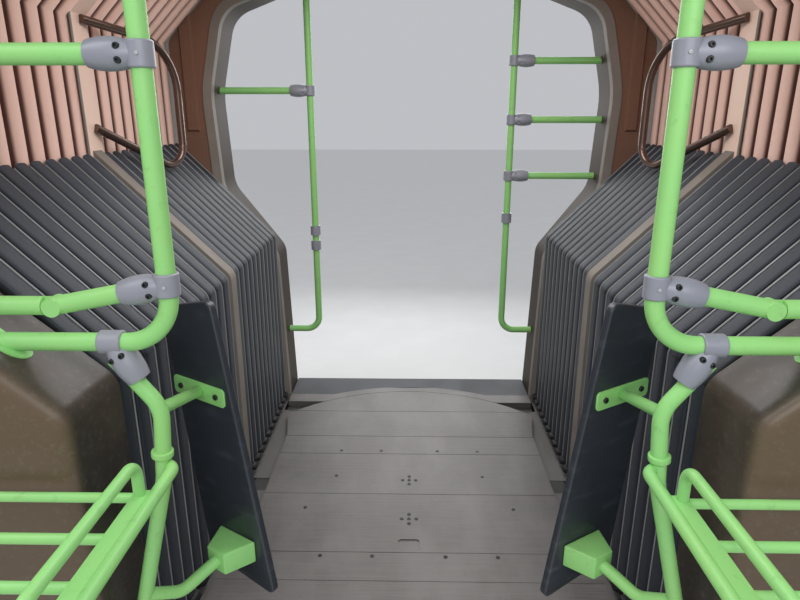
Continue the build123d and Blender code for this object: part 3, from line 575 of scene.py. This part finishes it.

# %% [markdown]
# ## Side bellows
# The dark wall beside the passage is pleated too, but flat: broad ribs with narrow grooves between them, and
# a light piping sewn along the rear edge of each. The grooves are darkened as painted shade, and the piping's
# light grey stands partly for painted highlights along the ribs' edges. All of it follows one line: up the
# wall, round the shoulder and out along a slope to the outer bellows. So the section of a rib is drawn lying
# flat at the wall's foot, extruded up, spun round the shoulder, extruded out and cut off upright. The backing
# and the piping take the same way with other sections.

# %% Wall sweep
WALL = 0.690
WALL_FOOT = FLOOR + 0.012
SHOULDER = FLOOR + 0.905
SHOULDER_RADIUS = 0.048
SHOULDER_BEND = SHOULDER - SHOULDER_RADIUS * math.tan(math.pi / 8)
SLOPE_TOP = HALF_WIDTH - 0.004
BACK_FACE, BACK = 0.025, 0.034
GROOVE = 0.020
STRIP_END = 0.038
COVER_END = -0.960


def wall_sweep(name, section, cut=SLOPE_TOP):
    """Carries a section, as (place along the bus, depth behind the face), along the wall and the slope."""
    piece = start(name, bpy.ops.mesh.primitive_circle_add, vertices=len(section), radius=1, fill_type="NGON")
    mesh = bmesh.from_edit_mesh(piece.data)
    for vertex, (y, depth) in zip(mesh.verts, section):
        vertex.co = (WALL + depth, y, WALL_FOOT)
    bmesh.update_edit_mesh(piece.data)
    bpy.ops.mesh.extrude_region_move(TRANSFORM_OT_translate={"value": (0, 0, SHOULDER_BEND - WALL_FOOT)})
    bpy.ops.mesh.spin(steps=6, angle=-math.pi / 4, center=(WALL + SHOULDER_RADIUS, 0, SHOULDER_BEND),
                      axis=(0, 1, 0))
    reach = cut - WALL + BACK
    bpy.ops.mesh.extrude_region_move(TRANSFORM_OT_translate={"value": (reach, 0, reach)})
    bpy.ops.mesh.select_all(action="SELECT")
    bpy.ops.mesh.bisect(plane_co=(cut, 0, 0), plane_no=(1, 0, 0), clear_outer=True, use_fill=True)
    bpy.ops.mesh.select_all(action="SELECT")
    bpy.ops.mesh.normals_make_consistent(inside=False)
    return finished(piece)


print("wall face", WALL, "m from the middle, slope cut at", SLOPE_TOP)

# %% [markdown]
# A rib's face is slightly crowned and its edges are rounded, as folded cloth is. The groove's sides go 25 mm
# back to the backing. The piping is thin and half sunk in the rib's rear edge. Each rib ends in a black
# rubber foot that stands a little before the wall, just clear of the floor.

# %% Side bellows
def rib_section(wide):
    half = wide / 2
    near = [(-half, BACK_FACE), (-half, 0.008), (-half + 0.0015, 0.0035), (-half + 0.005, 0.0012),
            (-half / 2, 0.0002)]
    far = [(-y, depth) for y, depth in reversed(near)]
    return near + [(0.0, -0.0004)] + far


def cord_section(y, depth, radius, sides=8):
    turns = [2 * math.pi * i / sides for i in range(sides)]
    return [(y + radius * math.cos(t), depth + radius * math.sin(t)) for t in turns]


def rib_foot(wide):
    """Rubber block at a rib's lower end, narrower and rounded towards the passage."""
    foot = start("foot", bpy.ops.mesh.primitive_cube_add, size=1)
    mesh = bmesh.from_edit_mesh(foot.data)
    for vertex in mesh.verts:
        inner, rear, upper = vertex.co.x < 0, vertex.co.y > 0, vertex.co.z > 0
        before = 0.010 if upper else 0.020
        share = 0.50 if rear else -0.20 if inner else -0.50
        vertex.co = (WALL - before if inner else WALL + 0.014, wide * share,
                     WALL_FOOT + (0.012 if upper else -0.0095))
    bmesh.update_edit_mesh(foot.data)
    return softened(finished(foot), 0.003, 2)


def groove_depth(point):
    """1 on the ribs' faces, 0 at the backing."""
    x, z = abs(point.x), point.z
    if z <= SHOULDER_BEND:
        depth = x - WALL
    else:
        along = Vector((x - WALL - SHOULDER_RADIUS, z - SHOULDER_BEND))
        slope = SHOULDER_RADIUS - along.dot(Vector((-1, 1)).normalized())
        depth = max(slope, SHOULDER_RADIUS - along.length) if along.x * -1 > along.y else slope
    return 1 - min(1.0, max(0.0, depth / 0.020))


def side_half(name, y0, y1, folds):
    pitch = (y1 - y0) / folds
    wide = pitch - GROOVE
    rib = wall_sweep("rib", rib_section(wide))
    piping = wall_sweep("piping", cord_section(wide / 2 - 0.0012, 0.0008, 0.0026), SLOPE_TOP - 0.012)
    foot = rib_foot(wide)
    parts = []
    for i in range(folds):
        place = Matrix.Translation((0, y0 + (i + 0.5) * pitch, 0))
        parts += [(copied(rib, place), wall_cloth), (copied(piping, place), piping_and_highlight),
                  (copied(foot, place), foot_rubber)]
    backing = wall_sweep("backing", [(y0, BACK_FACE), (y1, BACK_FACE), (y1, BACK), (y0, BACK)])
    parts.append((backing, wall_cloth))
    for part, material in parts:
        part.data.materials.clear()
        part.data.materials.append(material)
    for model in (rib, piping, foot):
        bpy.data.objects.remove(model)
    wall = joined(name + "_right", [part for part, material in parts])
    fold_attribute(wall, groove_depth)
    finished(wall)
    bpy.ops.object.shade_smooth_by_angle(angle=math.radians(40))
    for piece in (wall, mirrored(wall, name + "_left")):
        side = piece.name.rsplit("_", 1)[1]
        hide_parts(name.replace("side_wall", "side_bellows") + "_" + side)
        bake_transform(piece)
        print(piece.name, len(piece.data.polygons), "faces")


side_half("side_wall_front", COVER_END + TOUCH, -STRIP_END, 12)
side_half("side_wall_rear", STRIP_END, REAR_END - TOUCH, 11)

# %% [markdown]
# ## Rubber aprons beside the floor
# Between the plank plate and the ribs' feet the floor goes on as a thin grey apron. It lies in the narrow gap
# under the planks, so it can slide there when the bus bends. It is laid out as a row of faces along its
# length. The rear one is narrower beside the threshold.

# %% Aprons
APRON_LOW, APRON_THICK, APRON_STEPS = 0.2530, 0.0014, 24
APRON_OUTER = WALL + 0.032


def apron(name, y0, y1, inner):
    """Strip from y0 to y1; inner gives how far from the middle its inner edge lies at a place along it."""
    strip = start(name + "_right", bpy.ops.mesh.primitive_grid_add, x_subdivisions=1,
                  y_subdivisions=APRON_STEPS, size=1)
    mesh = bmesh.from_edit_mesh(strip.data)
    for vertex in mesh.verts:
        y = y0 + (vertex.co.y + 0.5) * (y1 - y0)
        vertex.co = (APRON_OUTER if vertex.co.x > 0 else inner(y), y, APRON_LOW)
    bmesh.update_edit_mesh(strip.data)
    bpy.ops.mesh.select_all(action="SELECT")
    bpy.ops.mesh.extrude_region_move(TRANSFORM_OT_translate={"value": (0, 0, APRON_THICK)})
    bpy.ops.mesh.select_all(action="SELECT")
    bpy.ops.mesh.normals_make_consistent(inside=False)
    finished(strip)
    dressed(strip, apron_rubber)
    for piece in (strip, mirrored(strip, name + "_left")):
        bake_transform(piece)
        print(piece.name, len(piece.data.polygons), "faces")


apron("apron_front", -0.895, -0.046, lambda y: 0.590)
apron("apron_rear", 0.046, REAR_END - TOUCH, lambda y: 0.600 if y < 0.69 else 0.673)

# %% [markdown]
# ## Middle hoop's cloth band
# Where the two halves of the outer bellows meet, a band of the same cloth covers the hoop, held along its
# front edge by a pale profile. Both are the passage's outline again, drawn out once and thickened.

# %% Hoop band
def hoop_ring(name, y0, y1, inside, thick, material):
    piece = outline_ring(name, -inside, y0)
    bpy.ops.mesh.extrude_edges_move(TRANSFORM_OT_translate={"value": (0, y1 - y0, 0)})
    finished(piece)
    shell = piece.modifiers.new("thickness", "SOLIDIFY")
    shell.thickness, shell.offset = thick, 0.0
    softened(piece, thick * 0.42)
    dressed(piece, material)
    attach(piece, "middle")


hoop_ring("hoop_band", -0.052, 0.052, 0.0035, 0.004, band_cloth)
hoop_ring("hoop_profile", -0.064, -0.0522, 0.0045, 0.006, trim_strip)
print("hoop band and profile on the middle hoop")

# %% [markdown]
# ## Tubes and plates
# The rigid pieces nearest the camera, and the guard loops, are modelled again here, closer to the photograph
# than the CAD ones, and each stands in place of its CAD node. A tube is a curve along a route with rounded
# corners. A plate is drawn flat in the plane of the guard board, which stands at an angle beside the passage,
# and turned at the end.

# %% The boards' plane, plates and tubes
BOARD_TURN = math.radians(32)
BOARD_AT = Vector((0.4005, -0.903, FLOOR))
BOARD_ALONG = Vector((math.cos(BOARD_TURN), math.sin(BOARD_TURN), 0))
BOARD_OUT = Vector((math.sin(BOARD_TURN), -math.cos(BOARD_TURN), 0))
BOARD_AXES = Matrix((BOARD_ALONG, -BOARD_OUT, (0, 0, 1))).transposed().to_4x4()
BOARD_PLANE = Matrix.Translation(BOARD_AT) @ BOARD_AXES


def on_board(along, out, height):
    return BOARD_AT + BOARD_ALONG * along + BOARD_OUT * out + Vector((0, 0, height))


def plate(name, outline, thick, corner, edge, back=0.0):
    """Flat plate in the board's plane, with rounded corners and edges; back is how far behind it starts."""
    piece = start(name, bpy.ops.mesh.primitive_circle_add, vertices=len(outline), radius=1, fill_type="NGON",
                  rotation=(math.pi / 2, 0, 0))
    mesh = bmesh.from_edit_mesh(piece.data)
    for vertex, (along, height) in zip(mesh.verts, outline):
        vertex.co = (along, back, height)
    bmesh.update_edit_mesh(piece.data)
    bpy.ops.mesh.bevel(affect="VERTICES", offset=corner, segments=6)
    bpy.ops.mesh.select_all(action="SELECT")
    bpy.ops.mesh.extrude_region_move(TRANSFORM_OT_translate={"value": (0, -thick, 0)})
    bpy.ops.mesh.select_all(action="SELECT")
    bpy.ops.mesh.normals_make_consistent(inside=False)
    finished(piece)
    softened(piece, edge)
    piece.data.transform(BOARD_PLANE)
    return piece


def rounded(route, bends, steps=10):
    """Points along a route whose corners are rounded."""
    route = [Vector(point) for point in route]
    points = [route[0]]
    for before, corner, after, bend in zip(route, route[1:], route[2:], bends):
        back, ahead = (before - corner).normalized(), (after - corner).normalized()
        half = back.angle(ahead) / 2
        centre = corner + (back + ahead).normalized() * bend / math.sin(half)
        away = bend / math.tan(half)
        first, last = corner + back * away - centre, corner + ahead * away - centre
        turn = first.angle(last)
        for i in range(steps + 1):
            t = i / steps
            arm = (first * math.sin((1 - t) * turn) + last * math.sin(t * turn)) / math.sin(turn)
            points.append(centre + arm)
    return points + [route[-1]]


def tube(name, route, radius, bends=()):
    points = rounded(route, bends)
    curve = bpy.data.curves.new(name, "CURVE")
    curve.dimensions, curve.bevel_depth, curve.bevel_resolution, curve.use_fill_caps = "3D", radius, 6, True
    line = curve.splines.new("POLY")
    line.points.add(len(points) - 1)
    for spot, point in zip(line.points, points):
        spot.co = (*point, 1)
    piece = bpy.data.objects.new(name, curve)
    scene.collection.objects.link(piece)
    finished(piece)
    bpy.ops.object.convert(target="MESH")
    return bpy.context.object


def in_place(right, node, material, smooth=35.0, body="front"):
    """The right-hand piece and its mirror image, in place of both CAD nodes."""
    dressed(right, material, smooth)
    for piece in (right, mirrored(right, node + "_left_made")):
        side = "right" if piece is right else "left"
        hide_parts(node + "_" + side)
        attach(piece, body)
        print(piece.name, len(piece.data.polygons), "faces")


# %% [markdown]
# ## Front mouldings
# Each side moulding is one smooth skin: a flat face, a rounded edge and a cheek that curves in to meet the
# bellows. A grid is laid out over it. Its columns follow the doorway's outline, given as corners with their
# radii. Its rows, given as (place along the bus, growth), carry that outline round the outer side, over the
# face and the rounded edge, and in along the cheek.

# %% Front mouldings
OUTLINE = [(0.660, 0.255, 0), (0.664, FLOOR + 0.916, 0.090), (0.960, FLOOR + 1.170, 0.120),
           (0.968, FLOOR + 1.600, 0)]
LEAST_RADIUS = 0.062
MOULDING_FOOT, MOULDING_SIDE = 0.255, 1.1475
SEAM = FLOOR + 1.3895
ROWS = [(-0.9006, 0.53), (-0.904, 0.53), (-1.146, 0.53), (-1.150, 0.52), (-1.150, 0.30), (-1.150, 0.110),
        (-1.150, 0.083), (-1.1475, 0.067), (-1.141, 0.056), (-1.130, 0.0500), (-1.110, 0.0470),
        (-1.080, 0.0445), (-1.050, 0.0425), (-1.030, 0.0400), (-1.010, 0.0360), (-0.995, 0.0315),
        (-0.982, 0.0275), (-0.972, 0.0248), (-0.9605, 0.0240)]


def grown(grow):
    """The doorway's outline, grown outwards, from its foot to the seam under the roof moulding."""
    corners = [Vector((x, z)) for x, z, bend in OUTLINE]
    lines = []
    for first, last in zip(corners, corners[1:]):
        ahead = (last - first).normalized()
        out = Vector((ahead.y, -ahead.x)) * grow
        lines.append((first + out, last + out))
    route = [lines[0][0]]
    for (a, b), (c, d) in zip(lines, lines[1:]):
        u, v = b - a, d - c
        t = ((c.x - a.x) * v.y - (c.y - a.y) * v.x) / (u.x * v.y - u.y * v.x)
        route.append(a + u * t)
    last, before = lines[-1][1], route[-1]
    route.append(before + (last - before) * (SEAM - before.y) / (last.y - before.y))
    bends = [max(LEAST_RADIUS, OUTLINE[1][2] - grow), OUTLINE[2][2] + grow * 0.4]
    points = rounded([(p.x, 0, p.y) for p in route], bends, 9)
    foot, head = points[0], points[-1]
    filled = [foot.lerp(points[1], i / 6) for i in range(6)] + points[1:-1]
    filled += [points[-2].lerp(head, i / 4) for i in range(1, 5)]
    return [(min(p.x, MOULDING_SIDE), max(p.z, MOULDING_FOOT)) for p in filled]


across = len(grown(0))
skin = start("front_cover_made", bpy.ops.mesh.primitive_grid_add, x_subdivisions=across - 1,
             y_subdivisions=len(ROWS) - 1, size=1)
mesh = bmesh.from_edit_mesh(skin.data)
ordered = sorted(mesh.verts, key=lambda v: (round(v.co.y, 4), v.co.x))
for row, (y, grow) in enumerate(ROWS):
    for vertex, (x, z) in zip(ordered[row * across:], grown(grow)):
        vertex.co = (x, y, z)
bmesh.update_edit_mesh(skin.data)
bpy.ops.mesh.normals_make_consistent(inside=False)
finished(skin)
shell = skin.modifiers.new("wall", "SOLIDIFY")
shell.thickness, shell.offset = 0.004, 0.0
apply_all(skin)
in_place(skin, "front_cover", moulding, 50)

# %% [markdown]
# ## Guard loops
# A loop of dark bronze tube on each side of the hoop keeps passengers off the rear folds. It leaves the hoop
# above the slope, runs back and down, turns up, and comes forward again to the hoop.

# %% Guard loops
LOOP_ROOT, LOOP_REACH, LOOP_BACK = 1.138, 0.985, 0.430
loop = tube("guard_loop_made", [(LOOP_ROOT, 0, FLOOR + 1.450), (LOOP_REACH, LOOP_BACK, FLOOR + 1.248),
                                (LOOP_REACH, LOOP_BACK, FLOOR + 1.765), (LOOP_ROOT, 0, FLOOR + 1.812)],
            0.0155, [0.085, 0.200])
in_place(loop, "guard_loop", loop_paint, body="middle")

# %% [markdown]
# ## Guard boards, brackets and the rack's legs
# A board tapers towards its foot. Above, a flat lug is bolted to it and a short tube runs from the lug to the
# leg of the rack. Below, a tapered box sits on the board, and a bent tube carries it. Both tubes are welded
# to the leg, which has a collar on the rack.

# %% Guard boards
BOARD = [(0.115, 1.058), (-0.043, 0.243), (0.205, 0.275), (0.310, 1.010)]
BOARD_THICK = 0.022
board = plate("guard_board_made", BOARD, BOARD_THICK, 0.026, 0.0045, back=BOARD_THICK)
in_place(board, "guard_board", guard_plastic, 40)

# %% Brackets
POLE_X, POLE_Y = 0.504, -1.060
LUG_AT, LUG_HEIGHT, LUG_BOLT = 0.182, 0.800, 0.068
LUG_HALF, LUG_HIGH, LUG_THICK = 0.098, 0.026, 0.0052
corners = [(-LUG_HALF, -LUG_HIGH), (LUG_HALF, -LUG_HIGH), (LUG_HALF, LUG_HIGH), (-LUG_HALF, LUG_HIGH)]
lug = plate("lug", [(LUG_AT + x, LUG_HEIGHT + z) for x, z in corners], LUG_THICK, 0.012, 0.0012)
stub = tube("stub", [(0.551, POLE_Y, FLOOR + 0.875), on_board(LUG_AT, 0.003, LUG_HEIGHT)], 0.0145)

box = start("box", bpy.ops.mesh.primitive_cube_add, size=1)
mesh = bmesh.from_edit_mesh(box.data)
BOX_OUT, BOX_LOW, BOX_HIGH = -0.083, 0.331, 0.396
for vertex in mesh.verts:
    outer = vertex.co.y < 0
    ends = (0.047, 0.112) if outer else (0.016, 0.151)
    height = BOX_HIGH if vertex.co.z > 0 else BOX_LOW
    vertex.co = (ends[vertex.co.x > 0], BOX_OUT if outer else -0.0003, height)
bmesh.update_edit_mesh(box.data)
softened(finished(box), 0.005)
box.data.transform(BOARD_PLANE)

ARM_KNEE = (0.580, -1.005, FLOOR + 0.330)
arm = tube("arm", [(0.644, POLE_Y, FLOOR + 0.372), ARM_KNEE, on_board(0.0795, 0.078, 0.3635)], 0.016, [0.050])
in_place(joined("board_brackets_made", [lug, stub, box, arm]), "board_brackets", rail_paint)

# %% The rack's legs
LEG = [(0.636, 0.995), (0.548, 0.880), (0.562, 0.700), (0.655, 0.330), (0.690, 0.300)]
leg = tube("leg", [(x, POLE_Y, FLOOR + height) for x, height in LEG], 0.018, [0.090, 0.200, 0.020])
collar = start("collar", bpy.ops.mesh.primitive_cylinder_add, vertices=40, radius=0.0245, depth=0.016,
               location=(0.5585, POLE_Y, FLOOR + 0.765), rotation=(0, math.radians(-5), 0))
softened(finished(collar), 0.003)
in_place(joined("rack_leg_made", [leg, collar]), "rack_leg", rail_paint)

# %% [markdown]
# ## Screws
# The rails' clamps are held by socket screws, the floor by flat ones and the guard boards by bolts. One screw
# of each kind is modelled, with its recess, and copied to every place.

# %% Screws
def screw(name, radius, high, recess, material):
    """Head with a bevelled rim and a round recess, standing on z = 0."""
    piece = start(name, bpy.ops.mesh.primitive_cylinder_add, vertices=24, radius=radius, depth=high,
                  location=(0, 0, high / 2))
    bpy.ops.mesh.select_all(action="DESELECT")
    mesh = bmesh.from_edit_mesh(piece.data)
    for face in mesh.faces:
        face.select = face.normal.z > 0.9
    bmesh.update_edit_mesh(piece.data)
    bpy.ops.mesh.inset(thickness=radius * 0.18, depth=high * 0.22)
    bpy.ops.mesh.inset(thickness=radius * 0.82 - recess, depth=0)
    bpy.ops.mesh.inset(thickness=recess * 0.08, depth=-high * 0.75)
    return dressed(finished(piece), material, 30)


def placed(model, name, places, body):
    """Copies of a screw at each (point, outward direction), as one piece."""
    copies = []
    for point, outward in places:
        turn = Vector(outward).to_track_quat("Z", "Y").to_matrix().to_4x4()
        copies.append(copied(model, Matrix.Translation(point) @ turn))
    piece = joined(name, copies)
    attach(piece, body)
    print(name, len(places))


flat_screw = screw("flat_screw", 0.0075, 0.0012, 0.0036, dark_screw)
socket_screw = screw("socket_screw", 0.0058, 0.0075, 0.0030, screw_metal)
bolt_head = screw("bolt_head", 0.0078, 0.0045, 0.0036, screw_metal)
rivet = screw("rivet", 0.0034, 0.0022, 0.0011, bright_rivet)

UP = (0, 0, 1)
ROWS_OF_SCREWS = [(0.13, 0.236), (0.315, 0.236), (0.315, 0.03), (0.413, -0.195), (0.13, -0.47),
                  (0.315, -0.47), (0.413, -0.70)]
FLOOR_SCREWS = [(x * side, y) for side in (-1, 1) for x, y in ROWS_OF_SCREWS]
CLUSTER = [(0.0, 0.0), (0.028, 0.0), (-0.028, 0.0), (0.0, 0.028), (0.0, -0.028)]
FLOOR_SCREWS += [(x, y + at) for at in (0.0, -0.26) for x, y in CLUSTER]
placed(flat_screw, "floor_screws", [((x, y, FLOOR), UP) for x, y in FLOOR_SCREWS], "front")

# %% Rail and board screws
UPPER, LOWER, RAIL = FLOOR + 1.606, FLOOR + 1.161, FLOOR + 1.033
LAP_X, LAP_DROP, RAIL_CLAMP_X = 0.745, 0.047, 0.636
SCREW_REACH, SCREW_APART, SEAT = 0.033, 0.0125, -0.0207


def clamp_screws(point, heading):
    """Two screws across a clamp's waist, set back in their holes."""
    ahead = Vector(heading).normalized()
    across = ahead.cross(Vector((0, 1, 0))).normalized()
    spot = Vector(point) + ahead * SCREW_REACH + Vector((0, SEAT, 0))
    return [(spot + across * side * SCREW_APART, (0, -1, 0)) for side in (-1, 1)]


heads = clamp_screws((POLE_X, POLE_Y, UPPER), (1, 0, 0))
heads += clamp_screws((POLE_X, POLE_Y, LOWER), (LAP_X - POLE_X, 0, -LAP_DROP))
heads += clamp_screws((RAIL_CLAMP_X, POLE_Y, RAIL), (LEG[1][0] - RAIL_CLAMP_X, 0, FLOOR + LEG[1][1] - RAIL))
rivets = [((POLE_X - 0.004, POLE_Y - 0.0262, z), (0, -1, 0)) for z in (UPPER, LOWER)]
board_bolts = [(on_board(LUG_AT + side * LUG_BOLT, LUG_THICK, LUG_HEIGHT), BOARD_OUT) for side in (-1, 1)]


def both_sides(places):
    return places + [((-p[0], p[1], p[2]), (-d[0], d[1], d[2])) for p, d in places]


placed(socket_screw, "clamp_screws", both_sides(heads), "front")
placed(rivet, "clamp_rivets", both_sides(rivets), "front")
placed(bolt_head, "board_bolts", both_sides(board_bolts), "front")
for model in (flat_screw, socket_screw, bolt_head, rivet):
    bpy.data.objects.remove(model)

# %% [markdown]
# ## The end

# %% The end
import json
